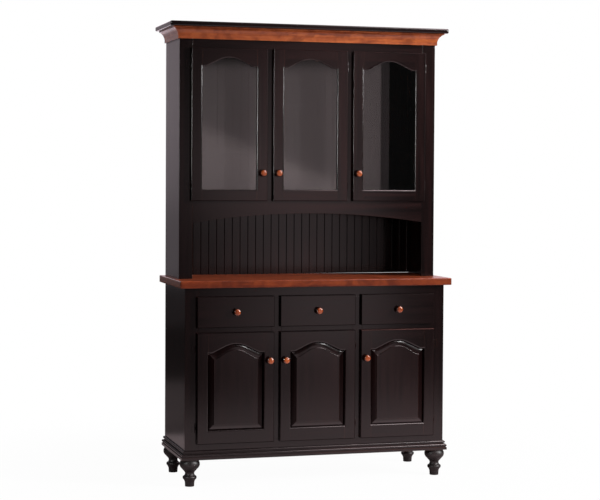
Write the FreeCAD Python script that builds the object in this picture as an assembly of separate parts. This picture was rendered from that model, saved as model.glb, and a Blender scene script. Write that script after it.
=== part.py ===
import FreeCAD, Part
import math
import os

os.makedirs("parts", exist_ok=True)
V = FreeCAD.Vector

# Sizes are in millimetres. +X is to the right, +Y to the back, +Z up, and the origin is on the floor at
# the centre of the whole cupboard's footprint.

# Fronts: three columns of drawer fronts and doors, laid over the face frames
columns = ("left", "middle", "right")
front_width = 355.0
front_gap = 28.0
side_reveal = 52.5
front_thickness = 18.0
front_standoff = 2.0
front_overlay = 9.5
front_ease = 3.0

# Heights of the base, from the case bottom up
foot_height = 121.5
base_bottom_reveal = 70.0
lower_door_height = 497.0
drawer_gap = 23.0
drawer_front_height = 139.0
base_top_reveal = 39.0

# Heights of the hutch, from the counter up
counter_thickness = 32.0
niche_height = 255.0
apron_rise = 42.0
apron_crown_height = 66.0
upper_door_height = 694.0
hutch_top_rail_height = 102.0

# Depths and boards
base_depth = 444.0
hutch_depth = 306.0
side_thickness = 19.0
frame_thickness = 20.0
board_thickness = 19.0
base_back_thickness = 6.0
hutch_back_thickness = 9.0
rabbet_width = 9.5
back_slot = 1.3

# Bead-board grooves of the hutch back, from the left case side
groove_start = 34.5
groove_pitch = 38.1
groove_width = 4.0
groove_depth = 2.0

# Counter and cap boards
counter_side_overhang = 28.0
counter_front_overhang = 31.0
counter_corner_radius = 5.0
counter_top_round = 4.5
counter_bottom_round = 4.0
cap_thickness = 21.5
cap_side_overhang = 51.0
cap_front_overhang = 52.0
cap_corner_radius = 9.0
cap_round = 6.0

# Crown moulding, a lip below a cove below a square fillet
crown_height = 54.0
crown_lip_out = 8.0
crown_lip_height = 4.0
crown_cove_out = 30.0
crown_cove_sag = 7.5
crown_fillet_out = 34.0
crown_fillet_height = 5.5

# Base moulding, from the floor up a fillet, a groove, a rounded band, a quirk and a bead
plinth_fillet_out = 15.5
plinth_fillet_height = 11.0
plinth_groove_out = 11.5
plinth_groove_height = 3.5
plinth_band_out = 15.0
plinth_band_height = 11.5
plinth_quirk_out = 3.5
plinth_quirk_height = 4.5
plinth_bead_out = 9.0
plinth_bead_height = 11.0
plinth_bead_top_out = 4.0

# Turned feet: outlines in shares of the radius and the height, from the floor up. A pair is a straight
# run to that point, four numbers are an arc through the first pair to the second.
foot_radius = 45.5
foot_inset = 30.0
foot_back_inset = 48.0
foot_shares = (
    (0.45, 0.0),
    (0.476, 0.16),
    (0.526, 0.216, 0.63, 0.272),
    (0.695, 0.323, 0.642, 0.38),
    (0.461, 0.494, 0.537, 0.555),
    (0.821, 0.673),
    (1.0, 0.803, 0.916, 0.937),
    (0.895, 1.0),
)
foot_block_width = 88.0

# Turned knobs, from the front's face outwards, written like the feet
knob_radius = 16.5
knob_length = 28.0
knob_inset = 23.0
knob_end_inset = 128.0
knob_shares = (
    (0.62, 0.0),
    (0.60, 0.09),
    (0.40, 0.22, 0.46, 0.40),
    (0.90, 0.44, 1.0, 0.60),
    (0.86, 0.84, 0.30, 1.0),
)

# Doors: frames with a rounded inner edge and an arched top
door_stile_width = 50.0
upper_door_bottom_rail = 52.0
upper_door_crown_rail = 44.5
lower_door_bottom_rail = 61.0
lower_door_crown_rail = 51.5
arch_rise = 40.0
arch_flat = 12.0
arch_ease_radius = 28.0
arch_crown_share = 0.87
sticking_radius = 6.0

# Raised panels of the lower doors: a rounded slope, then the rounded edge of a flat field
panel_tongue = 8.0
panel_tongue_thickness = 5.0
panel_tongue_depth = 10.0
panel_clearance = 0.3
panel_slope_width = 24.0
panel_slope_rise = 6.3
panel_edge_width = 2.4
panel_edge_rise = 2.5
panel_field_flat = 3.0
panel_sections = 5

# Glazing of the upper doors
glass_thickness = 4.0
glass_lip = 8.0
glass_rabbet = 9.0
glass_clearance = 0.5

# Drawer boxes and their runners
drawer_board = 12.0
drawer_bottom_thickness = 6.0
drawer_bottom_rise = 10.0
drawer_groove = 5.0
drawer_box_height = 100.0
drawer_box_length = 390.0
drawer_side_clearance = 6.0
drawer_floor_clearance = 5.0
runner_ledge = 10.0
runner_thickness = 14.0
runner_guide_height = 22.0
runner_side_clearance = 0.5
runner_slide_clearance = 0.2

# Shelves
base_shelf_height = 240.0
base_shelf_depth = 320.0
shelf_end_clearance = 0.5
cleat_height = 22.0
cleat_thickness = 14.0
glass_shelf_thickness = 8.0
glass_shelf_depth = 225.0
glass_shelf_heights = (210.0, 430.0)
shelf_pin_radius = 3.0
shelf_pin_length = 18.0
shelf_pin_sink = 9.0
shelf_pin_inset = 35.0
shelf_pin_clearance = 0.05

# Hinges: two leaves with interleaved knuckles on a tipped pin
hinge_end_inset = 72.0
barrel_radius = 3.6
barrel_length = 36.0
middle_knuckle = 15.4
knuckle_gap = 0.3
barrel_clearance = 0.6
barrel_frame_clearance = 0.4
leaf_thickness = 1.5
frame_leaf_width = 12.0
door_leaf_width = 20.0
pin_radius = 1.8
pin_clearance = 0.05
pin_tip_radius = 3.0
pin_tip_end_radius = 1.3
pin_tip_length = 4.0

# Length that cutting tools reach past the faces they cut, and the tolerance for picking edges
overrun = 1.0
pick_tolerance = 0.001

# Places worked out from the sizes above
body_width = len(columns) * front_width + (len(columns) - 1) * front_gap + 2 * side_reveal
half_width = body_width / 2
inner_half = half_width - side_thickness
plinth_height = (
    plinth_fillet_height + plinth_groove_height + plinth_band_height + plinth_quirk_height + plinth_bead_height
)
front_reach = front_standoff + front_thickness + knob_length
total_depth = base_depth + max(front_reach, counter_front_overhang)
back_y = total_depth / 2
base_y = back_y - base_depth
hutch_y = back_y - hutch_depth
stile_width = side_reveal + front_overlay
mullion_width = front_gap + 2 * front_overlay
column_pitch = front_width + front_gap
column_x = {name: (i - (len(columns) - 1) / 2) * column_pitch for i, name in enumerate(columns)}
mullion_x = [(column_x[a] + column_x[b]) / 2 for a, b in zip(columns, columns[1:])]
opening_width = front_width - 2 * front_overlay

lower_door_z = foot_height + base_bottom_reveal
drawer_z = lower_door_z + lower_door_height + drawer_gap
counter_z = drawer_z + drawer_front_height + base_top_reveal
hutch_z = counter_z + counter_thickness
apron_z = hutch_z + niche_height
deck_z = apron_z + apron_rise + apron_crown_height
upper_door_z = deck_z - front_overlay
hutch_rail_z = upper_door_z + upper_door_height - front_overlay
hutch_top = hutch_rail_z + hutch_top_rail_height
base_floor_z = lower_door_z + front_overlay
drawer_open_z = drawer_z + front_overlay
base_back_y = back_y - base_back_thickness
hutch_back_y = back_y - hutch_back_thickness


def box(x0, x1, y0, y1, z0, z1):
    return Part.makeBox(x1 - x0, y1 - y0, z1 - z0, V(x0, y0, z0))


def mirrored(shape):
    return shape.mirror(V(0, 0, 0), V(1, 0, 0))


def polygon_prism(points, direction):
    return Part.Face(Part.makePolygon(points + points[:1])).extrude(direction)


def export(node, *solids):
    Part.makeCompound(list(solids)).exportStep("parts/" + node + ".step")


def eased_front(x0, x1, y0, y1, z0, z1):
    """A board whose front edges are rounded over."""
    slab = box(x0, x1, y0, y1, z0, z1)
    edges = [e for e in slab.Edges if all(abs(v.Y - y0) < pick_tolerance for v in e.Vertexes)]
    return slab.makeFillet(front_ease, edges)


def turned(shares, radius, length, axis, base):
    """A turned piece, from an outline in shares of its radius and its length along the axis."""

    def at(radius_share, length_share):
        return V(radius_share * radius, 0, length_share * length)

    edges = []
    here = at(0, 0)
    for step in shares:
        there = at(*step[-2:])
        if len(step) == 4:
            edges.append(Part.Arc(here, at(*step[:2]), there).toShape())
        else:
            edges.append(Part.makeLine(here, there))
        here = there
    if here.x > pick_tolerance:
        edges.append(Part.makeLine(here, at(0, 1)))
    edges.append(Part.makeLine(at(0, 1), at(0, 0)))
    solid = Part.Face(Part.Wire(edges)).revolve(V(0, 0, 0), V(0, 0, 1), 360)
    solid.Placement = FreeCAD.Placement(base, FreeCAD.Rotation(V(0, 0, 1), axis))
    return solid


def eased_board(half, y0, z0, thickness, corner, top_round, bottom_round):
    """A board that overhangs the case, with rounded front corners and rounded edges but a square back."""
    board = box(-half, half, y0, back_y, z0, z0 + thickness)
    corners = [
        e
        for e in board.Edges
        if all(abs(v.Y - y0) < pick_tolerance for v in e.Vertexes)
        and abs(e.Vertexes[0].X - e.Vertexes[1].X) < pick_tolerance
    ]
    board = board.makeFillet(corner, corners)
    for z, radius in ((z0 + thickness, top_round), (z0, bottom_round)):
        rim = [
            e
            for e in board.Edges
            if all(abs(v.Z - z) < pick_tolerance for v in e.Vertexes)
            and not all(abs(v.Y - back_y) < pick_tolerance for v in e.Vertexes)
        ]
        board = board.makeFillet(radius, rim)
    return board


def mitred_set(profile, reach, front_y, z0, height):
    """A moulding round the front and both sides of a case, as three lengths that meet at mitres."""

    def on_front(out, up):
        return V(-half_width - reach, front_y - out, z0 + up)

    def on_left(out, up):
        return V(-half_width - out, front_y - reach, z0 + up)

    front = Part.Face(profile(on_front)).extrude(V(body_width + 2 * reach, 0, 0))
    left = Part.Face(profile(on_left)).extrude(V(0, back_y - front_y + reach, 0))
    front_plan = (
        (-half_width, front_y),
        (half_width, front_y),
        (half_width + reach, front_y - reach),
        (-half_width - reach, front_y - reach),
    )
    left_plan = (
        (-half_width, back_y),
        (-half_width, front_y),
        (-half_width - reach, front_y - reach),
        (-half_width - reach, back_y),
    )
    front = front.common(polygon_prism([V(x, y, z0) for x, y in front_plan], V(0, 0, height)))
    left = left.common(polygon_prism([V(x, y, z0) for x, y in left_plan], V(0, 0, height)))
    return front.Solids[0], left.Solids[0], mirrored(left.Solids[0])


def crown_profile(at):
    """Lip, cove and fillet, from points placed by distance out from the case and height."""
    cove_top = crown_height - crown_fillet_height
    chord_out = crown_cove_out - crown_lip_out
    chord_up = cove_top - crown_lip_height
    chord = math.hypot(chord_out, chord_up)
    sag_out = (crown_lip_out + crown_cove_out) / 2 - crown_cove_sag * chord_up / chord
    sag_up = (crown_lip_height + cove_top) / 2 + crown_cove_sag * chord_out / chord
    lip = at(crown_lip_out, crown_lip_height)
    cove_end = at(crown_cove_out, cove_top)
    run = (
        cove_end,
        at(crown_fillet_out, cove_top),
        at(crown_fillet_out, crown_height),
        at(0, crown_height),
        at(0, 0),
        at(crown_lip_out, 0),
        lip,
    )
    lines = [Part.makeLine(a, b) for a, b in zip(run, run[1:])]
    return Part.Wire([Part.Arc(lip, at(sag_out, sag_up), cove_end).toShape()] + lines)


def plinth_profile(at):
    """Fillet, groove, rounded band, quirk and bead, from points placed like the crown's."""
    band_z = plinth_fillet_height + plinth_groove_height
    band_top = band_z + plinth_band_height
    band_middle = band_z + plinth_band_height / 2
    bead_z = band_top + plinth_quirk_height
    bead_middle = bead_z + plinth_bead_height / 2
    low_run = (
        (0, 0),
        (plinth_fillet_out, 0),
        (plinth_fillet_out, plinth_fillet_height),
        (plinth_groove_out, plinth_fillet_height),
        (plinth_groove_out, band_z),
    )
    quirk_run = ((plinth_groove_out, band_top), (plinth_quirk_out, band_top), (plinth_quirk_out, bead_z))
    top_run = ((plinth_bead_top_out, plinth_height), (0, plinth_height), (0, 0))

    def lines(run):
        return [Part.makeLine(at(*a), at(*b)) for a, b in zip(run, run[1:])]

    def arc(run, middle, next_run):
        return [Part.Arc(at(*run[-1]), at(*middle), at(*next_run[0])).toShape()]

    return Part.Wire(
        lines(low_run)
        + arc(low_run, (plinth_band_out, band_middle), quirk_run)
        + lines(quirk_run)
        + arc(quirk_run, (plinth_bead_out, bead_middle), top_run)
        + lines(top_run)
    )


def arched_wire(x0, x1, y, z0, z1, flat):
    """A door opening: square below, with short flats, easing curves and ramps up to a round crown."""
    half = (x1 - x0) / 2
    middle = (x0 + x1) / 2
    crown_radius = arch_crown_share * half
    shoulder_z = z1 - arch_rise
    run = half - flat
    drop = arch_rise - arch_ease_radius - crown_radius
    slope = math.atan2(drop, run) + math.asin((arch_ease_radius + crown_radius) / math.hypot(run, drop))

    def at(side, out, z):
        return V(middle + side * out, y, z)

    def half_arch(side):
        ease_z = shoulder_z + arch_ease_radius
        ramp_low_out = run - arch_ease_radius * math.sin(slope)
        ramp_low = at(side, ramp_low_out, ease_z - arch_ease_radius * math.cos(slope))
        ease_out = run - arch_ease_radius * math.sin(slope / 2)
        ease = at(side, ease_out, ease_z - arch_ease_radius * math.cos(slope / 2))
        crown_z = z1 - crown_radius
        ramp_high = at(side, crown_radius * math.sin(slope), crown_z + crown_radius * math.cos(slope))
        return at(side, half, shoulder_z), at(side, run, shoulder_z), ease, ramp_low, ramp_high

    def rising(side):
        shoulder, flat_end, ease, ramp_low, ramp_high = half_arch(side)
        return [
            Part.makeLine(at(side, half, z0), shoulder),
            Part.makeLine(shoulder, flat_end),
            Part.Arc(flat_end, ease, ramp_low).toShape(),
            Part.makeLine(ramp_low, ramp_high),
        ]

    crown = Part.Arc(half_arch(1)[-1], V(middle, y, z1), half_arch(-1)[-1]).toShape()
    sill = Part.makeLine(at(-1, half, z0), at(1, half, z0))
    return Part.Wire([sill] + rising(1) + [crown] + rising(-1)[::-1])


def door_frame(z0, height, bottom_rail, crown_rail, y0):
    """The slab of one door at x = 0, with its arched opening cut and the opening's front edge rounded."""
    half = front_width / 2
    inner = half - door_stile_width
    y1 = y0 + front_thickness
    slab = eased_front(-half, half, y0, y1, z0, z0 + height)
    wire = arched_wire(-inner, inner, y0 - overrun, z0 + bottom_rail, z0 + height - crown_rail, arch_flat)
    slab = slab.cut(Part.Face(wire).extrude(V(0, front_thickness + 2 * overrun, 0)))
    sticking = [
        e
        for e in slab.Edges
        if all(abs(v.Y - y0) < pick_tolerance for v in e.Vertexes)
        and all(abs(v.X) < inner + pick_tolerance for v in e.Vertexes)
        and all(z0 + bottom_rail - pick_tolerance < v.Z for v in e.Vertexes)
        and all(v.Z < z0 + height - crown_rail + pick_tolerance for v in e.Vertexes)
    ]
    return slab.makeFillet(sticking_radius, sticking)


def door_members(frame, z0, height, y0):
    """Cut a door frame into its two stiles and two rails, which meet at the stiles' inner edges."""
    half = front_width / 2
    inner = half - door_stile_width
    y1 = y0 + front_thickness
    middle = z0 + height / 2
    zones = (
        box(-half, -inner, y0, y1, z0, z0 + height),
        box(inner, half, y0, y1, z0, z0 + height),
        box(-inner, inner, y0, y1, z0, middle),
        box(-inner, inner, y0, y1, middle, z0 + height),
    )
    return [frame.common(zone).Solids[0] for zone in zones]


def raised_panel(z0, height, y0, grow):
    """The tongue that sits in the frame's groove, which grows by a clearance to cut that groove."""
    inner = front_width / 2 - door_stile_width + panel_tongue + grow
    low = z0 + lower_door_bottom_rail - panel_tongue - grow
    high = z0 + height - lower_door_crown_rail + panel_tongue + grow
    wire = arched_wire(-inner, inner, y0 + panel_tongue_depth - grow, low, high, arch_flat)
    return Part.Face(wire).extrude(V(0, panel_tongue_thickness + 2 * grow, 0))


def raised_field(z0, height, y0):
    """The slope and the rounded edge that lead up to the flat field of a raised panel."""

    def outline(inset, depth):
        inner = front_width / 2 - door_stile_width - panel_clearance - inset
        low = z0 + lower_door_bottom_rail + panel_clearance + inset
        high = z0 + height - lower_door_crown_rail - panel_clearance - inset
        field_share = inset / (panel_slope_width + panel_edge_width)
        flat = arch_flat + (panel_field_flat - arch_flat) * field_share
        return arched_wire(-inner, inner, y0 + depth, low, high, flat)

    def roll(inset, width, depth, rise):
        """A loft that curves over from its tilt at the bottom to level at the top."""
        radius = (width**2 + rise**2) / (2 * rise)
        tilt = 2 * math.atan2(rise, width)
        outlines = []
        for i in range(panel_sections):
            angle = tilt * (1 - i / (panel_sections - 1))
            out = width - radius * math.sin(angle)
            down = radius * (1 - math.cos(angle))
            outlines.append(outline(inset + out, depth - rise + down))
        return Part.makeLoft(outlines, True, False)

    slope = roll(0, panel_slope_width, panel_tongue_depth, panel_slope_rise)
    edge = roll(panel_slope_width, panel_edge_width, panel_tongue_depth - panel_slope_rise, panel_edge_rise)
    return slope.fuse(edge)


def hinge(side):
    """Frame leaf, pin and door leaf about an upright axis, for a door on the right (1) or the left (-1)."""
    frame_y = barrel_radius + barrel_frame_clearance
    door_y = frame_y - front_standoff
    near = barrel_radius + barrel_clearance
    low = -barrel_length / 2
    high = barrel_length / 2
    half_middle = middle_knuckle / 2
    outer_end = half_middle + knuckle_gap
    outer_length = high - outer_end
    up = V(0, 0, 1)

    def knuckle(z, length):
        return Part.makeCylinder(barrel_radius, length, V(0, 0, z), up)

    bore = Part.makeCylinder(pin_radius + pin_clearance, barrel_length + 2 * overrun, V(0, 0, low - overrun), up)
    leaf_y = frame_y - leaf_thickness
    frame_leaf = box(-near - frame_leaf_width, -near, leaf_y, frame_y, low, high)
    for z in (low, outer_end):
        frame_leaf = frame_leaf.fuse(box(-near, 0, leaf_y, frame_y, z, z + outer_length))
        frame_leaf = frame_leaf.fuse(knuckle(z, outer_length))
    door_leaf = box(near, near + door_leaf_width, door_y, door_y + leaf_thickness, low, high)
    door_leaf = door_leaf.fuse(box(0, near, door_y, door_y + leaf_thickness, -half_middle, half_middle))
    door_leaf = door_leaf.fuse(knuckle(-half_middle, middle_knuckle))
    pin = Part.makeCylinder(pin_radius, barrel_length, V(0, 0, low), up)
    pin = pin.fuse(Part.makeCone(pin_tip_radius, pin_tip_end_radius, pin_tip_length, V(0, 0, high), up))
    pin = pin.fuse(Part.makeCone(pin_tip_radius, pin_tip_end_radius, pin_tip_length, V(0, 0, low), -up))
    solids = [frame_leaf.cut(bore).Solids[0], pin.Solids[0], door_leaf.cut(bore).Solids[0]]
    return solids if side > 0 else [mirrored(solid) for solid in solids]


def base_case():
    frame_back = base_y + frame_thickness
    side = box(inner_half, half_width, frame_back, back_y, foot_height, counter_z)
    rabbet = box(
        inner_half - overrun,
        inner_half + rabbet_width,
        base_back_y,
        back_y + overrun,
        foot_height - overrun,
        counter_z + overrun,
    )
    side = side.cut(rabbet)
    export("base_sides", mirrored(side), side)
    back_half = inner_half + rabbet_width
    export("base_back", box(-back_half, back_half, base_back_y, back_y, foot_height, counter_z))
    floor_z = base_floor_z - board_thickness
    export("base_bottom", box(-inner_half, inner_half, frame_back, base_back_y, floor_z, base_floor_z))
    block_x = inner_half - foot_block_width
    blocks = []
    for y in (frame_back, base_back_y - foot_block_width):
        block = box(block_x, inner_half, y, y + foot_block_width, foot_height, floor_z)
        blocks += [mirrored(block), block]
    export("foot_blocks", *blocks)
    half_board = board_thickness / 2
    partitions = [
        box(x - half_board, x + half_board, frame_back, base_back_y, base_floor_z, counter_z) for x in mullion_x
    ]
    export("base_partitions", *partitions)
    feet = []
    for y in (base_y + foot_inset, back_y - foot_back_inset):
        for x in (-half_width + foot_inset, half_width - foot_inset):
            feet.append(turned(foot_shares, foot_radius, foot_height, V(0, 0, 1), V(x, y, 0)))
    export("feet", *feet)
    export("base_moulding", *mitred_set(plinth_profile, plinth_fillet_out, base_y, foot_height, plinth_height))


def base_face_frame():
    frame_back = base_y + frame_thickness
    top_rail_z = drawer_z + drawer_front_height - front_overlay
    middle_rail_z = lower_door_z + lower_door_height - front_overlay
    stile = box(half_width - stile_width, half_width, base_y, frame_back, foot_height, counter_z)
    half_mullion = mullion_width / 2
    mullions = [
        box(x - half_mullion, x + half_mullion, base_y, frame_back, base_floor_z, top_rail_z) for x in mullion_x
    ]
    export("base_stiles", mirrored(stile), stile, *mullions)
    inner = half_width - stile_width
    half_opening = opening_width / 2
    rails = [
        box(-inner, inner, base_y, frame_back, foot_height, base_floor_z),
        box(-inner, inner, base_y, frame_back, top_rail_z, counter_z),
    ]
    for x in column_x.values():
        rails.append(box(x - half_opening, x + half_opening, base_y, frame_back, middle_rail_z, drawer_open_z))
    export("base_rails", *rails)


def base_shelves():
    shelf_z = base_floor_z + base_shelf_height
    shelf_y = base_back_y - base_shelf_depth
    shelves = []
    cleats = []
    for low, high in bays():
        shelves.append(
            box(
                low + shelf_end_clearance,
                high - shelf_end_clearance,
                shelf_y,
                base_back_y,
                shelf_z,
                shelf_z + board_thickness,
            )
        )
        for x in (low, high - cleat_thickness):
            cleats.append(box(x, x + cleat_thickness, shelf_y, base_back_y, shelf_z - cleat_height, shelf_z))
    export("base_shelves", *shelves)
    export("shelf_cleats", *cleats)


def bays():
    """Inner faces of the three bays of the base, between the sides and the partitions."""
    half_board = board_thickness / 2
    walls = [-inner_half] + [x + side * half_board for x in mullion_x for side in (-1, 1)] + [inner_half]
    return list(zip(walls[::2], walls[1::2]))


def drawers():
    box_z = drawer_open_z + drawer_floor_clearance
    box_y = base_y - front_standoff
    box_end = box_y + drawer_box_length
    half_box = opening_width / 2 - drawer_side_clearance
    half_inside = half_box - drawer_board
    bottom_z = box_z + drawer_bottom_rise
    bottom_top = bottom_z + drawer_bottom_thickness
    half_bottom = half_inside + drawer_groove
    bottom_y = box_y + drawer_board - drawer_groove
    bottom = box(-half_bottom, half_bottom, bottom_y, box_end, bottom_z, bottom_top)
    side = box(half_inside, half_box, box_y, box_end, box_z, box_z + drawer_box_height).cut(bottom)
    inner_front = box(-half_inside, half_inside, box_y, box_y + drawer_board, box_z, box_z + drawer_box_height)
    inner_front = inner_front.cut(bottom)
    back = box(-half_inside, half_inside, box_end - drawer_board, box_end, bottom_top, box_z + drawer_box_height)
    half = front_width / 2
    face_y = box_y - front_thickness
    front = eased_front(-half, half, face_y, box_y, drawer_z, drawer_z + drawer_front_height)
    knob_z = drawer_z + drawer_front_height / 2
    knob = turned(knob_shares, knob_radius, knob_length, V(0, -1, 0), V(0, face_y, knob_z))
    ledge_z = box_z - runner_slide_clearance
    runners = []
    for (low, high), (name, x) in zip(bays(), column_x.items()):
        shift = V(x, 0, 0)
        export("drawer_" + name + "_front", front.translated(shift))
        export("drawer_" + name + "_knob", knob.translated(shift))
        boards = (mirrored(side), side, inner_front, back, bottom)
        export("drawer_" + name + "_box", *[board.translated(shift) for board in boards])
        for wall, inward in ((low, 1), (high, -1)):
            side_x = x - inward * half_box
            guide_x = side_x - inward * runner_side_clearance
            ledge_x = side_x + inward * runner_ledge
            outline = (
                (wall, ledge_z - runner_thickness),
                (ledge_x, ledge_z - runner_thickness),
                (ledge_x, ledge_z),
                (guide_x, ledge_z),
                (guide_x, ledge_z + runner_guide_height),
                (wall, ledge_z + runner_guide_height),
            )
            runner_y = base_y + frame_thickness
            points = [V(px, runner_y, pz) for px, pz in outline]
            runners.append(polygon_prism(points, V(0, base_back_y - runner_y, 0)))
    export("drawer_runners", *runners)


def counter():
    half = half_width + counter_side_overhang
    board = eased_board(
        half,
        base_y - counter_front_overhang,
        counter_z,
        counter_thickness,
        counter_corner_radius,
        counter_top_round,
        counter_bottom_round,
    )
    export("countertop", board)


def bead_board():
    """The hutch back, with V grooves down its front face at an even pitch from the left side."""
    half = inner_half + rabbet_width
    first = -inner_half + groove_start
    count = int((inner_half - groove_width - first) // groove_pitch) + 1
    points = [V(-half, hutch_back_y, 0)]
    for i in range(count):
        x = first + i * groove_pitch
        points.append(V(x - groove_width / 2, hutch_back_y, 0))
        points.append(V(x, hutch_back_y + groove_depth, 0))
        points.append(V(x + groove_width / 2, hutch_back_y, 0))
    points += [V(half, hutch_back_y, 0), V(half, back_y, 0), V(-half, back_y, 0)]
    board = polygon_prism(points, V(0, 0, hutch_top - hutch_z - back_slot))
    export("hutch_back", board.translated(V(0, 0, hutch_z + back_slot)))


def hutch_case():
    frame_back = hutch_y + frame_thickness
    side = box(inner_half, half_width, frame_back, back_y, hutch_z, hutch_top)
    rabbet = box(
        inner_half - overrun,
        inner_half + rabbet_width,
        hutch_back_y,
        back_y + overrun,
        hutch_z - overrun,
        hutch_top + overrun,
    )
    side = side.cut(rabbet)
    pins = []
    shelves = []
    shelf_back = hutch_back_y - shelf_end_clearance
    shelf_y = shelf_back - glass_shelf_depth
    shelf_half = inner_half - shelf_end_clearance
    pin_x = inner_half + shelf_pin_sink
    inward = V(-1, 0, 0)
    for height in glass_shelf_heights:
        z = deck_z + height
        shelves.append(box(-shelf_half, shelf_half, shelf_y, shelf_back, z, z + glass_shelf_thickness))
        for y in (shelf_y + shelf_pin_inset, shelf_back - shelf_pin_inset):
            start = V(pin_x, y, z - shelf_pin_radius)
            hole = Part.makeCylinder(
                shelf_pin_radius + shelf_pin_clearance, shelf_pin_sink + overrun, start, inward
            )
            side = side.cut(hole)
            pin = Part.makeCylinder(shelf_pin_radius, shelf_pin_length, start, inward)
            pins += [mirrored(pin), pin]
    export("hutch_sides", mirrored(side), side)
    export("glass_shelves", *shelves)
    export("shelf_pins", *pins)
    deck = box(-inner_half, inner_half, frame_back, hutch_back_y, deck_z - board_thickness, deck_z)
    export("hutch_deck", deck)


def hutch_face_frame():
    frame_back = hutch_y + frame_thickness
    stile = box(half_width - stile_width, half_width, hutch_y, frame_back, hutch_z, hutch_top)
    half_mullion = mullion_width / 2
    mullions = [
        box(x - half_mullion, x + half_mullion, hutch_y, frame_back, deck_z, hutch_rail_z) for x in mullion_x
    ]
    export("hutch_stiles", mirrored(stile), stile, *mullions)
    inner = half_width - stile_width
    export("hutch_top_rail", box(-inner, inner, hutch_y, frame_back, hutch_rail_z, hutch_top))
    left_end = V(-inner, hutch_y, apron_z)
    right_end = V(inner, hutch_y, apron_z)
    left_top = V(-inner, hutch_y, deck_z)
    right_top = V(inner, hutch_y, deck_z)
    apron = Part.Wire(
        [
            Part.Arc(left_end, V(0, hutch_y, apron_z + apron_rise), right_end).toShape(),
            Part.makeLine(right_end, right_top),
            Part.makeLine(right_top, left_top),
            Part.makeLine(left_top, left_end),
        ]
    )
    export("hutch_arch_rail", Part.Face(apron).extrude(V(0, frame_thickness, 0)))


def crown():
    crown_z = hutch_top - crown_height
    export("crown_moulding", *mitred_set(crown_profile, crown_fillet_out, hutch_y, crown_z, crown_height))
    cap = eased_board(
        half_width + cap_side_overhang,
        hutch_y - cap_front_overhang,
        hutch_top,
        cap_thickness,
        cap_corner_radius,
        cap_round,
        cap_round,
    )
    export("crown_cap", cap)


def hang(row, frame_y, z0, height, knob_z):
    """Knobs and hinges of one row of doors. Returns the leaves and pins that stay on the face frame."""
    half = front_width / 2
    face_y = frame_y - front_standoff - front_thickness
    knob_out = half - knob_inset
    axis_out = half + barrel_radius + barrel_clearance
    axis_y = frame_y - barrel_radius - barrel_frame_clearance
    fixed = []
    for name, x in column_x.items():
        side = 1 if name == "left" else -1
        knob = turned(knob_shares, knob_radius, knob_length, V(0, -1, 0), V(x + side * knob_out, face_y, knob_z))
        export(row + "_door_" + name + "_knob", knob)
        leaves = []
        for z in (z0 + hinge_end_inset, z0 + height - hinge_end_inset):
            place = V(x - side * axis_out, axis_y, z)
            frame_leaf, pin, door_leaf = [solid.translated(place) for solid in hinge(side)]
            fixed += [frame_leaf, pin]
            leaves.append(door_leaf)
        export(row + "_door_" + name + "_hinges", *leaves)
    return fixed


def lower_doors():
    y0 = base_y - front_standoff - front_thickness
    frame = door_frame(lower_door_z, lower_door_height, lower_door_bottom_rail, lower_door_crown_rail, y0)
    frame = frame.cut(raised_panel(lower_door_z, lower_door_height, y0, panel_clearance))
    members = door_members(frame, lower_door_z, lower_door_height, y0)
    panel = raised_panel(lower_door_z, lower_door_height, y0, 0)
    panel = panel.fuse(raised_field(lower_door_z, lower_door_height, y0)).removeSplitter().Solids[0]
    for name, x in column_x.items():
        shift = V(x, 0, 0)
        export("lower_door_" + name + "_frame", *[member.translated(shift) for member in members])
        export("lower_door_" + name + "_panel", panel.translated(shift))
    knob_z = lower_door_z + lower_door_height - knob_end_inset
    return hang("lower", base_y, lower_door_z, lower_door_height, knob_z)


def upper_doors():
    y0 = hutch_y - front_standoff - front_thickness
    y1 = y0 + front_thickness
    frame = door_frame(upper_door_z, upper_door_height, upper_door_bottom_rail, upper_door_crown_rail, y0)
    half = front_width / 2 - door_stile_width + glass_rabbet
    low = upper_door_z + upper_door_bottom_rail - glass_rabbet
    high = upper_door_z + upper_door_height - upper_door_crown_rail + glass_rabbet
    glass_y = y0 + glass_lip
    stop_y = glass_y + glass_thickness
    frame = frame.cut(box(-half, half, glass_y, y1 + overrun, low, high))
    members = door_members(frame, upper_door_z, upper_door_height, y0)
    gap = glass_clearance
    glass = box(-half + gap, half - gap, glass_y, stop_y, low + gap, high - gap)
    upright = box(half - glass_rabbet, half, stop_y, y1, low, high)
    stops = (
        mirrored(upright),
        upright,
        box(-half + glass_rabbet, half - glass_rabbet, stop_y, y1, low, low + glass_rabbet),
        box(-half + glass_rabbet, half - glass_rabbet, stop_y, y1, high - glass_rabbet, high),
    )
    for name, x in column_x.items():
        shift = V(x, 0, 0)
        export("upper_door_" + name + "_frame", *[member.translated(shift) for member in members])
        export("upper_door_" + name + "_glass", glass.translated(shift))
        export("upper_door_" + name + "_stops", *[stop.translated(shift) for stop in stops])
    return hang("upper", hutch_y, upper_door_z, upper_door_height, upper_door_z + knob_end_inset)


base_case()
base_face_frame()
base_shelves()
drawers()
counter()
bead_board()
hutch_case()
hutch_face_frame()
crown()
export("hinge_frame_leaves", *lower_doors(), *upper_doors())
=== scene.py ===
import math

import bpy
from mathutils import Matrix, Vector


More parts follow.
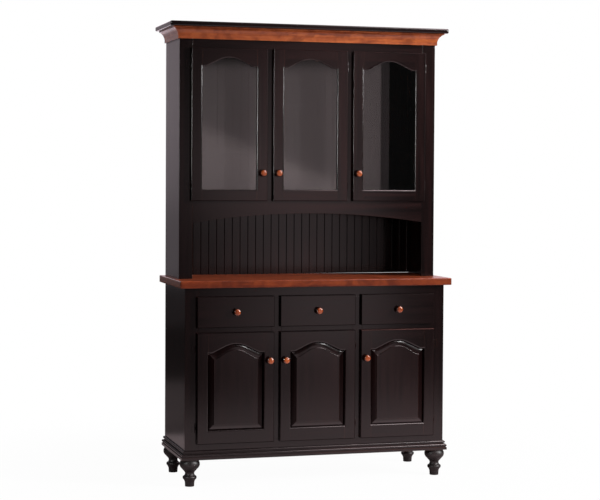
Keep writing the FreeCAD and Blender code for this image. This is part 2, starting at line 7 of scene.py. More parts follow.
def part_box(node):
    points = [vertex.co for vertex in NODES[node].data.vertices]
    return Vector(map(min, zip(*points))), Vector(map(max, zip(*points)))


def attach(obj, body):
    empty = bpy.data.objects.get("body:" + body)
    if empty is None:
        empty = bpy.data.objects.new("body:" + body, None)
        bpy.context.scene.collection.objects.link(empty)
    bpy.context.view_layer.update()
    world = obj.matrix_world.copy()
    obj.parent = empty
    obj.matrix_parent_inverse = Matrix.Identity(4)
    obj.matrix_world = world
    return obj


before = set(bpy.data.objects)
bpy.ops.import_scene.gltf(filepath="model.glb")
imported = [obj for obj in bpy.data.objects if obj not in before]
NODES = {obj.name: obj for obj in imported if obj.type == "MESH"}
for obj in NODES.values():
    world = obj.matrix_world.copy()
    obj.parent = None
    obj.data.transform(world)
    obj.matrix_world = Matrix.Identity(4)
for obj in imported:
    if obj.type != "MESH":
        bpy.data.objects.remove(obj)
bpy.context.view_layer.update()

# Lengths are in metres in the cupboard's own frame: +X right, +Y back, +Z up, origin on the floor.
COLUMNS = ("left", "middle", "right")
COUNTER_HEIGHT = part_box("countertop")[1].z

# Camera
CAMERA_PLACE = (-2.132, -7.318, 1.393)
CAMERA_YAW = 0.2801
CAMERA_PITCH = -0.0272
CAMERA_ROLL = 0.0055
CAMERA_LENS_MM = 98.27
CAMERA_SENSOR_MM = 36.0
CAMERA_SHIFT_UP = -0.05


def make_camera():
    data = bpy.data.cameras.new("camera")
    data.lens = CAMERA_LENS_MM
    data.sensor_width = CAMERA_SENSOR_MM
    data.shift_y = CAMERA_SHIFT_UP
    camera = bpy.data.objects.new("camera", data)
    bpy.context.scene.collection.objects.link(camera)
    turn = Matrix.Rotation(-CAMERA_YAW, 4, "Z")
    tilt = Matrix.Rotation(math.pi / 2 + CAMERA_PITCH, 4, "X")
    roll = Matrix.Rotation(CAMERA_ROLL, 4, "Z")
    camera.matrix_world = Matrix.Translation(CAMERA_PLACE) @ turn @ tilt @ roll
    bpy.context.scene.camera = camera


# Node trees


def add(tree, kind, inputs=None, **settings):
    """A new shader node, with settings on the node and values or links on its inputs."""
    made = tree.nodes.new(kind)
    for name, value in settings.items():
        setattr(made, name, value)
    for name, value in (inputs or {}).items():
        if isinstance(value, bpy.types.NodeSocket):
            tree.links.new(value, made.inputs[name])
        else:
            made.inputs[name].default_value = value
    return made


def maths(tree, operation, a, b=0.0):
    return add(tree, "ShaderNodeMath", {0: a, 1: b}, operation=operation).outputs[0]


def product(tree, value, *factors):
    for factor in factors:
        value = maths(tree, "MULTIPLY", value, factor)
    return value


def weigh(tree, a, b, share):
    """The given share of a, and for the rest b."""
    return maths(tree, "ADD", product(tree, a, share), product(tree, b, 1.0 - share))


def between(tree, value, low, high, out_low=0.0, out_high=1.0):
    """A value mapped from one range to another, smoothly and held at both ends."""
    inputs = {"Value": value, "From Min": low, "From Max": high, "To Min": out_low, "To Max": out_high}
    return add(tree, "ShaderNodeMapRange", inputs, interpolation_type="SMOOTHSTEP").outputs[0]


def blend(tree, share, a, b):
    """A colour between a and b."""
    mix = add(tree, "ShaderNodeMix", data_type="RGBA")
    for socket, value in ((mix.inputs[0], share), (mix.inputs[6], a), (mix.inputs[7], b)):
        if isinstance(value, bpy.types.NodeSocket):
            tree.links.new(value, socket)
        else:
            socket.default_value = value
    return mix.outputs[2]


def distance(tree, a, b):
    return add(tree, "ShaderNodeVectorMath", {0: a, 1: b}, operation="DISTANCE").outputs["Value"]


def object_place(tree):
    """Where a point of the surface is in the cupboard's frame."""
    return add(tree, "ShaderNodeTexCoord").outputs["Object"]


def axes(tree, vector):
    """The X, Y and Z of a vector."""
    return add(tree, "ShaderNodeSeparateXYZ", {0: vector}).outputs


def colour(red, green, blue):
    return (red, green, blue, 1.0)


BLACK = colour(0.0, 0.0, 0.0)
WHITE = colour(1.0, 1.0, 1.0)


def new_material(name):
    """A material with an empty tree, and the tree."""
    material = bpy.data.materials.new(name)
    material.use_nodes = True
    material.node_tree.nodes.clear()
    return material, material.node_tree


def set_surface(tree, shader):
    add(tree, "ShaderNodeOutputMaterial", {"Surface": shader.outputs[0]})


def set_principled(tree, inputs):
    set_surface(tree, add(tree, "ShaderNodeBsdfPrincipled", inputs))


def grain_noise(tree, along, scale_along, scale_across, detail, distortion=0.0):
    """Noise drawn out along one axis of the cupboard, as wood grain is."""
    scale = [scale_across] * 3
    scale["XYZ".index(along)] = scale_along
    place = add(tree, "ShaderNodeMapping", {"Vector": object_place(tree), "Scale": scale}).outputs[0]
    inputs = {"Vector": place, "Scale": 1.0, "Detail": detail, "Distortion": distortion}
    return add(tree, "ShaderNodeTexNoise", inputs).outputs["Fac"]


EDGE_FACING = (0.97, 0.80)
EDGE_SAMPLES = 6


def edge_mask(tree, radius):
    """1 along outer edges, 0 on flat faces, from how far a rounded normal leaves the surface's own."""
    rounded = add(tree, "ShaderNodeBevel", {"Radius": radius}, samples=EDGE_SAMPLES).outputs[0]
    surface = add(tree, "ShaderNodeNewGeometry").outputs["Normal"]
    inputs = {0: rounded, 1: surface}
    facing = add(tree, "ShaderNodeVectorMath", inputs, operation="DOT_PRODUCT").outputs["Value"]
    return between(tree, facing, *EDGE_FACING)


RELIEF_DEPTH = 0.0006


def bump(tree, height, strength):
    """A normal that follows a fine relief."""
    inputs = {"Strength": strength, "Distance": RELIEF_DEPTH, "Height": height}
    return add(tree, "ShaderNodeBump", inputs).outputs[0]


# Materials

# A noise is given as its fineness along and across the grain, its detail and its distortion. A range is given
# as its two ends, and then the two values that they stand for, where these aren't 0 and 1.
ROUGHNESS_TONES = (0.3, 0.7)

# Darkest and warmest tone of the lacquer on the base, its door panels, the hutch (painted warmer, a painted
# reflection) and a rim with a painted highlight
LACQUER_TONES = {
    "base": (colour(0.0018, 0.0006, 0.0006), colour(0.0056, 0.0015, 0.0015)),
    "panel": (colour(0.0026, 0.0008, 0.0008), colour(0.0076, 0.0021, 0.0021)),
    "hutch": (colour(0.0032, 0.0011, 0.0011), colour(0.0142, 0.0042, 0.0040)),
    "lit_rim": (colour(0.035, 0.014, 0.012), colour(0.085, 0.032, 0.028)),
}
LACQUER_EDGE_TONE = colour(0.110, 0.036, 0.020)
LACQUER_STREAKS = (2.2, 46.0, 5.0, 0.3)
LACQUER_PATCHES = (1.1, 3.0, 2.0)
LACQUER_FINE_GRAIN = (14.0, 620.0, 3.0)
LACQUER_STREAK_SHARE = 0.55
LACQUER_WARM_TONES = (0.36, 0.64)
# Painted reflection: the hutch's lacquer grows warmer towards the right
HUTCH_PAINTED_WARMTH_ACROSS = (-0.62, 0.10, 0.10, 1.0)
LACQUER_EDGE_RADIUS = 0.0022
LACQUER_EDGE_PATCHES = (0.44, 0.64, 0.05, 0.7)
LACQUER_ROUGHNESS_SPREAD = 0.04
LACQUER_FINE_RELIEF_SHARE = 0.6
LACQUER_BUMP = 0.025


def lacquer(place, along, name="", roughness=0.15, ior=1.42):
    """Near-black brown satin lacquer over wood grain, lighter brown along the edges in patches.

    On the hutch it is painted warmer towards the right, a painted warm reflection.
    """
    material, tree = new_material(f"black_lacquer_{place}_{name or along.lower()}")
    streaks = grain_noise(tree, along, *LACQUER_STREAKS)
    patches = grain_noise(tree, along, *LACQUER_PATCHES)
    fine_grain = grain_noise(tree, along, *LACQUER_FINE_GRAIN)
    tone = weigh(tree, streaks, patches, LACQUER_STREAK_SHARE)
    warmth = between(tree, tone, *LACQUER_WARM_TONES)
    # Painted warm reflection, stronger towards the right of the hutch
    if place == "hutch":
        across = axes(tree, object_place(tree))["X"]
        warmth = product(tree, warmth, between(tree, across, *HUTCH_PAINTED_WARMTH_ACROSS))
    body = blend(tree, warmth, *LACQUER_TONES[place])
    # Lighter brown along the edges, in patches
    edge_tint = product(tree, edge_mask(tree, LACQUER_EDGE_RADIUS), between(tree, patches, *LACQUER_EDGE_PATCHES))
    roughest = roughness + LACQUER_ROUGHNESS_SPREAD
    relief = weigh(tree, fine_grain, streaks, LACQUER_FINE_RELIEF_SHARE)
    set_principled(tree, {
        "Base Color": blend(tree, edge_tint, body, LACQUER_EDGE_TONE),
        "Roughness": between(tree, tone, *ROUGHNESS_TONES, roughness, roughest),
        "Normal": bump(tree, relief, LACQUER_BUMP),
        "IOR": ior,
    })
    return material


CHERRY_DEEP = (0.095, 0.018, 0.007)
CHERRY_BODY = (0.245, 0.054, 0.017)
CHERRY_PALE = (0.350, 0.090, 0.027)
CHERRY_STREAKS = (2.6, 60.0, 6.0, 0.6)
CHERRY_FIGURE = (20.0, 34.0, 3.0, 0.8)
CHERRY_PORES = (45.0, 900.0, 2.0)
CHERRY_CLOUDS = (14.0, 20.0, 3.0, 0.5)
CHERRY_STREAK_SHARE = 0.55
CHERRY_PALE_TONES = (0.46, 0.68)
CHERRY_DEEP_TONES = (0.30, 0.50)
CHERRY_PORE_MARKS = (0.60, 0.74, 0.0, 0.55)
CHERRY_BLOTCH_CLOUDS = (0.46, 0.66)
CHERRY_PAINTED_SHADE_ACROSS = (0.20, -0.60, 0.0, 0.36)
CHERRY_EDGE_RADIUS = 0.0015
CHERRY_EDGE_SHARE = 0.35
CHERRY_ROUGHNESS_SPREAD = 0.06
CHERRY_STREAK_RELIEF = 0.5
CHERRY_BUMP = 0.05
KNOB_FLANK_SHADE = colour(0.022, 0.007, 0.005)
KNOB_FLANK_SHADE_FACING = (0.95, 0.40)


def cherry(name, along, shade, roughness, blotches, ior=1.36, shaded_flanks=False, painted_shade_left=False):
    """Red-brown cherry under lacquer, with streaks, dappled figure, dark blotches and pores.

    Painted shade darkens the turned sides of a knob, and painted shade makes the crown darker towards the
    left.
    """
    deep, middle, pale = (colour(*(share * part for share, part in zip(shade, tone)))
                          for tone in (CHERRY_DEEP, CHERRY_BODY, CHERRY_PALE))
    material, tree = new_material(f"cherry_{name}_{along.lower()}")
    streaks = grain_noise(tree, along, *CHERRY_STREAKS)
    figure = grain_noise(tree, along, *CHERRY_FIGURE)
    pores = grain_noise(tree, along, *CHERRY_PORES)
    clouds = grain_noise(tree, along, *CHERRY_CLOUDS)
    tone = weigh(tree, streaks, figure, CHERRY_STREAK_SHARE)
    light = blend(tree, between(tree, tone, *CHERRY_PALE_TONES), middle, pale)
    body = blend(tree, between(tree, tone, *CHERRY_DEEP_TONES), deep, light)
    body = blend(tree, between(tree, pores, *CHERRY_PORE_MARKS), body, deep)
    body = blend(tree, between(tree, clouds, *CHERRY_BLOTCH_CLOUDS, 0.0, blotches), body, deep)
    # Painted shade: the knob's turned sides are darker
    if shaded_flanks:
        normal = add(tree, "ShaderNodeTexCoord").outputs["Normal"]
        facing = maths(tree, "ABSOLUTE", axes(tree, normal)[along])
        body = blend(tree, between(tree, facing, *KNOB_FLANK_SHADE_FACING), body, KNOB_FLANK_SHADE)
    # Painted shade: darker towards the left, away from the light on the right
    if painted_shade_left:
        across = axes(tree, object_place(tree))["X"]
        body = blend(tree, between(tree, across, *CHERRY_PAINTED_SHADE_ACROSS), body, deep)
    # Paler along the edges
    edge_tint = product(tree, edge_mask(tree, CHERRY_EDGE_RADIUS), CHERRY_EDGE_SHARE)
    roughest = roughness + CHERRY_ROUGHNESS_SPREAD
    relief = maths(tree, "SUBTRACT", product(tree, streaks, CHERRY_STREAK_RELIEF), pores)
    set_principled(tree, {
        "Base Color": blend(tree, edge_tint, body, pale),
        "Roughness": between(tree, tone, *ROUGHNESS_TONES, roughest, roughness),
        "Normal": bump(tree, relief, CHERRY_BUMP),
        "IOR": ior,
    })
    return material


MAPLE_PALE = colour(0.640, 0.470, 0.290)
MAPLE_DARK = colour(0.480, 0.310, 0.165)
MAPLE_STREAKS = (2.0, 70.0, 6.0, 0.5)
MAPLE_FIGURE = (3.0, 10.0, 2.0, 1.2)
MAPLE_STREAK_SHARE = 0.6
MAPLE_PALE_TONES = (0.36, 0.62)
MAPLE_ROUGHNESS = (0.42, 0.50)
MAPLE_BUMP = 0.08


def maple(along):
    """Pale clear-sealed maple, for the drawer boxes and runners."""
    material, tree = new_material("maple_" + along.lower())
    streaks = grain_noise(tree, along, *MAPLE_STREAKS)
    figure = grain_noise(tree, along, *MAPLE_FIGURE)
    tone = weigh(tree, streaks, figure, MAPLE_STREAK_SHARE)
    set_principled(tree, {
        "Base Color": blend(tree, between(tree, tone, *MAPLE_PALE_TONES), MAPLE_DARK, MAPLE_PALE),
        "Roughness": between(tree, tone, *ROUGHNESS_TONES, *MAPLE_ROUGHNESS),
        "Normal": bump(tree, streaks, MAPLE_BUMP),
    })
    return material


GLASS_TINT = colour(0.93, 0.96, 0.95)


def glass(name, ior):
    """Clear glass."""
    material, tree = new_material(name)
    set_principled(tree, {"Base Color": GLASS_TINT, "Roughness": 0.0, "IOR": ior, "Transmission Weight": 1.0})
    return material


BRONZE_DARK = colour(0.018, 0.014, 0.012)
BRONZE_LIGHT = colour(0.035, 0.027, 0.022)
BRONZE_CLOUDS = {"Scale": 240.0, "Detail": 4.0}
BRONZE_LIGHT_CLOUDS = (0.35, 0.65)
BRONZE_ROUGHNESS = (0.38, 0.50)


def bronze():
    """Worn dark bronze, with two tones and a slightly uneven polish."""
    material, tree = new_material("dark_bronze")
    inputs = {"Vector": object_place(tree), **BRONZE_CLOUDS}
    cloud = add(tree, "ShaderNodeTexNoise", inputs).outputs["Fac"]
    set_principled(tree, {
        "Base Color": blend(tree, between(tree, cloud, *BRONZE_LIGHT_CLOUDS), BRONZE_DARK, BRONZE_LIGHT),
        "Roughness": between(tree, cloud, *ROUGHNESS_TONES, *BRONZE_ROUGHNESS),
        "Metallic": 1.0,
    })
    return material


# Dressing the pieces


def dress(node, material):
    mesh = NODES[node].data
    mesh.materials.clear()
    mesh.materials.append(material)


def dress_by(node, materials, pick):
    """Several materials on one node, chosen for each face."""
    mesh = NODES[node].data
    mesh.materials.clear()
    for material in materials:
        mesh.materials.append(material)
    for face in mesh.polygons:
        face.material_index = pick(face)


DOOR_STILE = 0.05
DOOR_RIM = 0.004
TURNED_LEFT = -0.2


def pick_board(face, low, high):
    """The material of a door frame's face: 0 rail, 1 stile or turned left, 2 outer rim, 3 top of the rim."""
    from_side = min(face.center.x - low.x, high.x - face.center.x)
    if face.normal.x < TURNED_LEFT:
        return 1
    if high.z - face.center.z < DOOR_RIM:
        return 3
    if min(from_side, face.center.z - low.z) < DOOR_RIM:
        return 2
    return int(from_side < DOOR_STILE)


SIDE_SLOPE = 0.02


def pick_panel(face):
    """The material of a raised panel's face: 0 field or slope of the arch, 1 slope of a straight side, a
    shaded copy with weak reflection as painted shade.
    """
    return int(abs(face.normal.x) > max(SIDE_SLOPE, abs(face.normal.z)))


COUNTER_FACING = 0.8


def pick_counter(face):
    """The material of the counter's face: 0 edge, 1 top, 2 left or right end, lit and shaded copies of one
    cherry: the top painted lighter, the edge and ends painted darker.
    """
    if face.normal.z > COUNTER_FACING:
        return 1
    return 2 if abs(face.normal.x) > COUNTER_FACING else 0


def pick_moulding(face):
    """The material of a moulding's face: 0 front length, 1 left or right length."""
    return int(abs(face.normal.x) > abs(face.normal.y))


LEAF_FACING = 0.9


def pick_leaf(face):
    """The material of a hinge leaf's face on the frame: 0 edge, 1 front on the base, 2 front on the hutch."""
    if face.normal.y >= -LEAF_FACING:
        return 0
    return 2 if face.center.z > COUNTER_HEIGHT else 1


# Lacquer with hardly any gloss, for rims, edges and hinges: a shaded copy whose painted shade keeps
# highlights off them and leaves dark lines along the rims
DULL = {"roughness": 0.40, "ior": 1.14}
FOOT_ROUGHNESS = 0.45
SHADED_SLOPE_IOR = 1.2
PANE_IOR = 1.5
SHELF_IOR = 1.2
DRAWER_SIDE = 0.02

COATED_NODES = {
    "upright": ("base_sides", "base_back", "foot_blocks", "base_partitions", "base_stiles"),
    "level": ("base_bottom", "base_rails", "base_shelves"),
    "deep": ("shelf_cleats",),
    "hutch_upright": ("hutch_sides", "hutch_back", "hutch_stiles"),
    "hutch_level": ("hutch_deck", "hutch_top_rail", "hutch_arch_rail", "crown_cap"),
}


def make_coats():
    """The finishes that several pieces share. The grain of the lacquers runs up, across or back."""
    return {
        "upright": lacquer("base", "Z"),
        "level": lacquer("base", "X"),
        "deep": lacquer("base", "Y"),
        "hutch_upright": lacquer("hutch", "Z"),
        "hutch_level": lacquer("hutch", "X"),
        "dull": lacquer("base", "Z", "edge", **DULL),
        "hutch_dull": lacquer("hutch", "Z", "edge", **DULL),
        "knob": cherry("knob", "Y", (1.18, 1.02, 0.80), roughness=0.12, blotches=0.0, ior=1.48, shaded_flanks=True),
        "maple_level": maple("X"),
        "maple_deep": maple("Y"),
    }


def dress_case(coats):
    for coat, nodes in COATED_NODES.items():
        for node in nodes:
            dress(node, coats[coat])
    dress("feet", lacquer("base", "Z", "foot", roughness=FOOT_ROUGHNESS))
    dress("drawer_runners", coats["maple_deep"])
    dress("glass_shelves", glass("shelf_glass", SHELF_IOR))
    dress("shelf_pins", bronze())
    leaves = (coats["dull"], coats["upright"], coats["hutch_upright"])
    dress_by("hinge_frame_leaves", leaves, pick_leaf)


def dress_counter_and_mouldings(coats):
    # Lit and shaded copies of one cherry: painted light on the top, painted shade on the edge and ends
    counter = (cherry("counter_edge_painted_shade", "X", (0.64, 0.48, 0.42), roughness=0.28, blotches=0.7, ior=1.29),
               cherry("counter_top_painted_light", "X", (1.50, 1.20, 1.15), roughness=0.28, blotches=0.5),
               cherry("counter_end_painted_shade", "Y", (0.80, 0.80, 0.80), roughness=0.20, blotches=0.3, ior=1.55))
    dress_by("countertop", counter, pick_counter)
    # The crown's front is painted darker towards the left as painted shade, and its ends are a lighter copy,
    # a painted reflection
    crown = (cherry("crown", "X", (1.52, 1.58, 1.55), roughness=0.18, blotches=0.60, painted_shade_left=True),
             cherry("crown_end_painted_light", "Y", (1.70, 1.75, 1.80), roughness=0.18, blotches=0.25))
    dress_by("crown_moulding", crown, pick_moulding)
    dress_by("base_moulding", (coats["level"], coats["deep"]), pick_moulding)


def dress_framed(node, boards):
    """A door frame or drawer front, with materials for its rails, its stiles, its rim and the rim's top."""
    low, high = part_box(node)
    dress_by(node, boards, lambda face: pick_board(face, low, high))


def dress_drawers(coats):
    level, dull = coats["level"], coats["dull"]
    for column in COLUMNS:
        body = f"drawer_{column}"
        dress_framed(body + "_front", (level, level, dull, dull))
        dress(body + "_knob", coats["knob"])
        low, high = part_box(body + "_box")
        dress_by(body + "_box", (coats["maple_level"], coats["maple_deep"]),
                 lambda face: int(not low.x + DRAWER_SIDE < face.center.x < high.x - DRAWER_SIDE))


def dress_lower_doors(coats):
    """The right door's top edge is painted a lighter brown, a painted highlight."""
    # Painted highlight: lighter brown lacquer on the right door's top rim
    lit_rim = lacquer("lit_rim", "X", **DULL)
    # The straight slopes get a shaded copy of the lacquer with weak reflection, painted shade
    panel = (lacquer("panel", "Z"), lacquer("base", "Z", "slope", ior=SHADED_SLOPE_IOR))
    for column in COLUMNS:
        body = f"lower_door_{column}"
        top_rim = lit_rim if column == "right" else coats["dull"]
        dress_framed(body + "_frame", (coats["level"], coats["upright"], coats["dull"], top_rim))
        dress_by(body + "_panel", panel, pick_panel)
        dress(body + "_knob", coats["knob"])
        dress(body + "_hinges", coats["dull"])


def dress_upper_doors(coats):
    pane = glass("clear_glass", PANE_IOR)
    rim = coats["hutch_dull"]
    for column in COLUMNS:
        body = f"upper_door_{column}"
        dress_framed(body + "_frame", (coats["hutch_level"], coats["hutch_upright"], rim, rim))
        dress(body + "_glass", pane)
        dress(body + "_stops", rim)
        dress(body + "_knob", coats["knob"])
        dress(body + "_hinges", coats["dull"])


EASED_BOARDS = ("base_sides", "base_back", "base_bottom", "foot_blocks", "base_partitions", "base_stiles",
                "base_rails", "base_shelves", "shelf_cleats", "drawer_runners", "hutch_sides", "hutch_deck",
                "hutch_stiles", "hutch_top_rail", "hutch_arch_rail", "glass_shelves")
BOARD_EASE = 0.0008
EASE_SEGMENTS = 2
EASE_ANGLE = math.radians(35)
WELD_DISTANCE = 1e-5


def ease_boards():
    """Break the sharp edges of the plain boards, as sanding does."""
    for node in EASED_BOARDS:
        piece = NODES[node]
        mesh = piece.data
        for name in ("custom_normal", "sharp_edge", "sharp_face"):
            if name in mesh.attributes:
                mesh.attributes.remove(mesh.attributes[name])
        weld = piece.modifiers.new("weld", "WELD")
        weld.merge_threshold = WELD_DISTANCE
        bevel = piece.modifiers.new("ease", "BEVEL")
        bevel.width = BOARD_EASE
        bevel.segments = EASE_SEGMENTS
        bevel.limit_method = "ANGLE"
        bevel.angle_limit = EASE_ANGLE
        bevel.harden_normals = True


# Where the strip's top and its foot end, across the cupboard
FILLER_TAPER = (-0.08, 0.46)
FILLER_INSET = 0.001


def fill_back_slot(material):
    """A black strip that fills the slot under the bead-board and runs out towards the right."""
    low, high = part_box("hutch_back")
    left, front, back = low.x + FILLER_INSET, low.y + FILLER_INSET, high.y - FILLER_INSET
    top_end, foot_end = FILLER_TAPER
    corners = [(left, COUNTER_HEIGHT), (foot_end, COUNTER_HEIGHT), (top_end, low.z), (left, low.z)]
    count = len(corners)
    faces = [tuple(range(count)), tuple(reversed(range(count, 2 * count)))]
    faces += [(i, i + count, (i + 1) % count + count, (i + 1) % count) for i in range(count)]
    mesh = bpy.data.meshes.new("back_filler")
    mesh.from_pydata([(x, y, z) for y in (front, back) for x, z in corners], [], faces)
    mesh.materials.append(material)
    filler = bpy.data.objects.new("back_filler", mesh)
    bpy.context.scene.collection.objects.link(filler)
    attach(filler, "cabinet")


def dress_cupboard():
    coats = make_coats()
    dress_case(coats)
    dress_counter_and_mouldings(coats)
    dress_drawers(coats)
    dress_lower_doors(coats)
    dress_upper_doors(coats)
    fill_back_slot(coats["hutch_level"])


# Stage

FLOOR_RADIUS = 13.0
FLOOR_SIDES = 96
FLOOR_FADE = (0.9, 2.4)
FLOOR_NEAR_WHITE = 0.97
FLOOR_PAINT = colour(0.9, 0.9, 0.9)
# Sheets of white paper: middle, fading between two distances from it, and how white
PAPER_SHEETS = (((0.35, -1.0, 0.0), (1.1, 2.3), 0.90), ((-1.0, 1.8, 0.0), (1.60, 1.85), 0.18),
                ((-0.8, 0.5, 0.0), (0.70, 0.85), 1.0))
BARE_FLOOR = 0.04
WARM_WHITE = colour(1.0, 0.80, 0.82)
ROSE_WHITE = colour(1.0, 0.84, 0.92)


def make_floor():
    """White paper on a dark studio floor. To the eye it has a soft shadow and is plain white further out."""
    bpy.ops.mesh.primitive_circle_add(vertices=FLOOR_SIDES, radius=FLOOR_RADIUS, fill_type="NGON")
    floor = bpy.context.object
    floor.name = "floor"
    material, tree = new_material("white_floor")
    place = object_place(tree)
    whiteness = BARE_FLOOR
    for middle, fade, white in PAPER_SHEETS:
        sheet = between(tree, distance(tree, place, middle), *fade, white, BARE_FLOOR)
        whiteness = maths(tree, "MAXIMUM", whiteness, sheet)
    seen = add(tree, "ShaderNodeLightPath").outputs["Is Camera Ray"]
    paper = blend(tree, whiteness, BLACK, WARM_WHITE)
    paint = add(tree, "ShaderNodeBsdfDiffuse", {"Color": blend(tree, seen, paper, FLOOR_PAINT)})
    plain = add(tree, "ShaderNodeEmission", {"Color": WHITE, "Strength": 1.0})
    away = add(tree, "ShaderNodeVectorMath", {0: place}, operation="LENGTH").outputs["Value"]
    share = product(tree, seen, between(tree, away, *FLOOR_FADE, FLOOR_NEAR_WHITE, 1.0))
    set_surface(tree, add(tree, "ShaderNodeMixShader", {0: share, 1: paint.outputs[0], 2: plain.outputs[0]}))
    floor.data.materials.append(material)


AMBIENT = 0.38
MIRRORED_DIM = 0.03


def make_world():
    """White to the eye, an even fill on paint, and dark in reflections, where only cards and lamps show."""
    world = bpy.data.worlds.new("studio")
    bpy.context.scene.world = world
    world.use_nodes = True
    tree = world.node_tree
    tree.nodes.clear()
    path = add(tree, "ShaderNodeLightPath").outputs
    mirrored = maths(tree, "MAXIMUM", path["Is Glossy Ray"], path["Is Transmission Ray"])
    level = add(tree, "ShaderNodeMix", {0: mirrored, 2: AMBIENT, 3: MIRRORED_DIM}).outputs[0]
    level = add(tree, "ShaderNodeMix", {0: path["Is Camera Ray"], 2: level, 3: 1.0}).outputs[0]
    light = add(tree, "ShaderNodeBackground", {"Color": WHITE, "Strength": level})
    add(tree, "ShaderNodeOutputWorld", {"Surface": light.outputs[0]})


# Lamps: place, the spot aimed at, width and height, power in watts, and whether it also lights paint
LAMPS = {
    "key": ((6.0, -4.0, 3.2), (0.0, -0.1, 1.4), (1.5, 2.2), 720.0, True),
    "high_strip": ((3.4, -3.7, 3.9), (0.0, -0.2, 0.6), (2.8, 0.4), 130.0, False),
    "left_strip": ((-3.4, -2.2, 1.8), (-0.1, -0.1, 1.6), (0.35, 0.75), 80.0, False),
}


def make_lamps():
    for name, (place, aim, size, power, lights_paint) in LAMPS.items():
        data = bpy.data.lights.new(name, "AREA")
        data.shape = "RECTANGLE"
        data.size, data.size_y = size
        data.energy = power
        lamp = bpy.data.objects.new(name, data)
        bpy.context.scene.collection.objects.link(lamp)
        lamp.location = place
        lamp.rotation_euler = (Vector(aim) - Vector(place)).to_track_quat("-Z", "Y").to_euler()
        lamp.visible_camera = False
        lamp.visible_diffuse = lights_paint


# Brightness of the cards, as ranges of place

FRONT_SLANT = 0.39
FRONT_SLANTED_EDGE = (1.90, 2.08, 1.28, 0.65)
FRONT_ACROSS = (0.70, 1.35, 0.86, 1.07)
FRONT_LOWER_HALF = (0.95, 1.5, 0.68, 1.0)
FRONT_FOOT = (0.45, 0.62, 1.24, 1.0)
FRONT_RIGHT_EDGE = (2.015, 2.035, 1.0, 0.28)
LOW_END = (1.15, 0.85)
LOW_END_FOOT = (0.54, 0.62, 0.66, 1.0)
LOW_END_ACROSS = (0.55, 1.50, 0.85, 0.0)
HIGH_END = (2.17, 2.32)
HIGH_END_ACROSS = (1.15, 2.32, 0.94, 0.0)


def front_level(tree, spot):
    """Bright below an edge that slants down to the right and dimmer above it.

    It is dimmed at the lower and upper end of its left side, and along its right edge.
    """
    across, height = spot["X"], spot["Z"]
    slanted = maths(tree, "ADD", height, product(tree, across, FRONT_SLANT))
    low_end = product(tree, between(tree, height, *LOW_END), between(tree, height, *LOW_END_FOOT),
                      between(tree, across, *LOW_END_ACROSS))
    high_end = product(tree, between(tree, height, *HIGH_END), between(tree, across, *HIGH_END_ACROSS))
    dimmed = maths(tree, "MAXIMUM", low_end, high_end)
    return product(tree, between(tree, slanted, *FRONT_SLANTED_EDGE), between(tree, across, *FRONT_ACROSS),
                   between(tree, height, *FRONT_LOWER_HALF), between(tree, height, *FRONT_FOOT),
                   maths(tree, "SUBTRACT", 1.0, dimmed), between(tree, across, *FRONT_RIGHT_EDGE))


BACK_FOOT = (0.65, 0.76, 0.02, 0.18)
BACK_RISE = (0.90, 2.00, 0.0, 0.16)
BEHIND_ACROSS = (-1.08, -0.86, 0.0, 1.4)
BEHIND_RISE = (1.00, 1.40)


def back_level(tree, spot):
    """White straight behind the cupboard. Left of that dark near the floor and lighter with height."""
    across, height = spot["X"], spot["Z"]
    side = maths(tree, "ADD", between(tree, height, *BACK_FOOT), between(tree, height, *BACK_RISE))
    behind = product(tree, between(tree, across, *BEHIND_ACROSS), between(tree, height, *BEHIND_RISE))
    return maths(tree, "MAXIMUM", side, behind)


POOL_PLACE = (1.05, -3.1, 0.0)
POOL_GLOW = (0.2, 1.25, 0.48, 0.0)
BAND_NEAR_SIDE = (-2.3, -1.6)
BAND_DEPTH = (-1.0, -0.5, 0.26, 1.0)
BAND_LEFT_END = (-1.7, -0.9)
BAND_RIGHT_END = (2.4, 1.6)
BAND_ACROSS = (-0.5, 0.9, 0.8, 1.2)


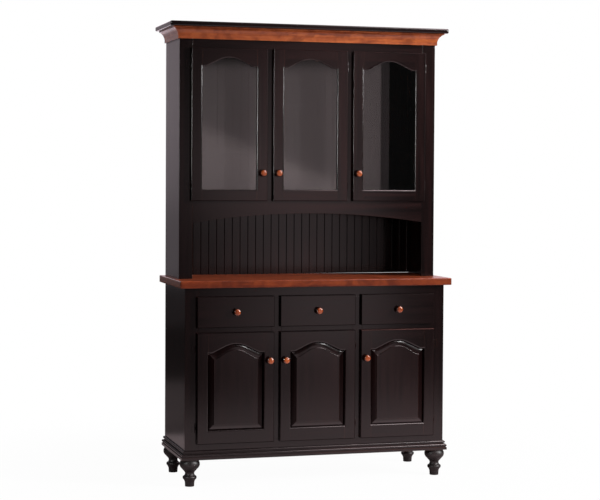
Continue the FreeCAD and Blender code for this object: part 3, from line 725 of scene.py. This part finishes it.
def floor_level(tree, spot):
    """A pool of light well in front, and a band of it along the foot of the cupboard."""
    across, depth = spot["X"], spot["Y"]
    flat = add(tree, "ShaderNodeCombineXYZ", {0: across, 1: depth}).outputs[0]
    pool = between(tree, distance(tree, flat, POOL_PLACE), *POOL_GLOW)
    band = product(tree, between(tree, depth, *BAND_NEAR_SIDE), between(tree, depth, *BAND_DEPTH),
                   between(tree, across, *BAND_LEFT_END), between(tree, across, *BAND_RIGHT_END),
                   between(tree, across, *BAND_ACROSS))
    return maths(tree, "ADD", pool, band)


CEILING_ACROSS = (0.8, 1.6, 0.9, 13.0)


def ceiling_level(tree, spot):
    """Brighter towards the right."""
    return between(tree, spot["X"], *CEILING_ACROSS)


UPRIGHT = (math.pi / 2, 0.0, 0.0)
LYING = (0.0, 0.0, 0.0)

# Cards: middle, width and height, turn, tint and brightness
CARDS = {
    "front_card": ((1.325, -5.0, 1.5), (1.538, 3.0), UPRIGHT, WARM_WHITE, front_level),
    "floor_card": ((0.4, -2.4, 0.004), (4.2, 4.2), LYING, WARM_WHITE, floor_level),
    "ceiling_card": ((1.5, -2.05, 4.0), (3.0, 3.5), LYING, WARM_WHITE, ceiling_level),
    "back_card": ((-0.5, 3.2, 2.2), (9.0, 3.6), UPRIGHT, ROSE_WHITE, back_level),
}


def make_cards():
    """Glowing scrims that only reflections show."""
    for name, (place, size, turn, tint, level) in CARDS.items():
        bpy.ops.mesh.primitive_plane_add(size=1.0, location=place, rotation=turn)
        card = bpy.context.object
        card.name = name
        card.scale = (*size, 1.0)
        card.visible_camera = False
        card.visible_diffuse = False
        card.visible_shadow = False
        material, tree = new_material(name)
        spot = axes(tree, add(tree, "ShaderNodeNewGeometry").outputs["Position"])
        glow = add(tree, "ShaderNodeEmission", {"Color": tint, "Strength": level(tree, spot)}).outputs[0]
        clear = add(tree, "ShaderNodeBsdfTransparent").outputs[0]
        set_surface(tree, add(tree, "ShaderNodeAddShader", {0: glow, 1: clear}))
        card.data.materials.append(material)


make_camera()
dress_cupboard()
ease_boards()
make_floor()
make_world()
make_lamps()
make_cards()
bpy.context.scene.view_settings.view_transform = "Standard"
